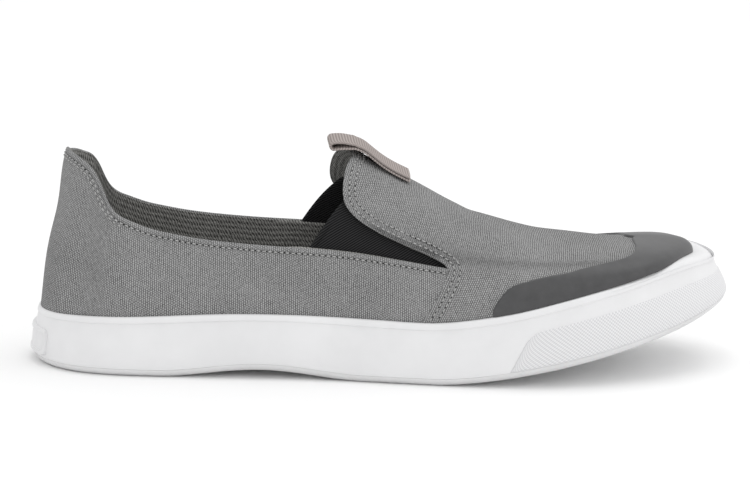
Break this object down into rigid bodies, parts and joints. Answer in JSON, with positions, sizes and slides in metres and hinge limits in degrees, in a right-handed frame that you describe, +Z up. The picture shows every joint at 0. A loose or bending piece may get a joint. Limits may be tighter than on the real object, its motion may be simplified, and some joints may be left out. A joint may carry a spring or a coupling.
{
  "type": "slip-on sneaker",
  "caption": "Low slip-on canvas sneaker for the right foot, with elastic side gores, a moulded rubber cup sole with a toe bumper, an insole and a pull loop.",
  "frame": {"origin": "middle of the shoe's box, on the floor", "axes": "+X to the toe, +Y to the inner side of the foot, +Z up"},
  "size_m": [0.2914, 0.1037, 0.0952],
  "materials": {
    "outsole": "white moulded tread rubber, matt",
    "sole_cup": "white moulded rubber, satin",
    "toe_bumper": "white rubber with a fine moulded texture",
    "heel_label": "white rubber plate, plain",
    "insole": "grey woven cloth over foam",
    "upper": "mid-grey canvas, woven",
    "toe_guard": "dark grey film, soft sheen",
    "gore_outer": "black ribbed elastic",
    "gore_inner": "black ribbed elastic",
    "pull_loop": "warm grey webbing"
  },
  "bodies": {
    "root": {"outsole": "outsole", "sole_cup": "sole_cup", "toe_bumper": "toe_bumper", "heel_label": "heel_label", "insole": "insole", "upper": "upper", "toe_guard": "toe_guard", "gore_outer": "gore_outer", "gore_inner": "gore_inner", "pull_loop": "pull_loop"}
  },
  "joints": []
}
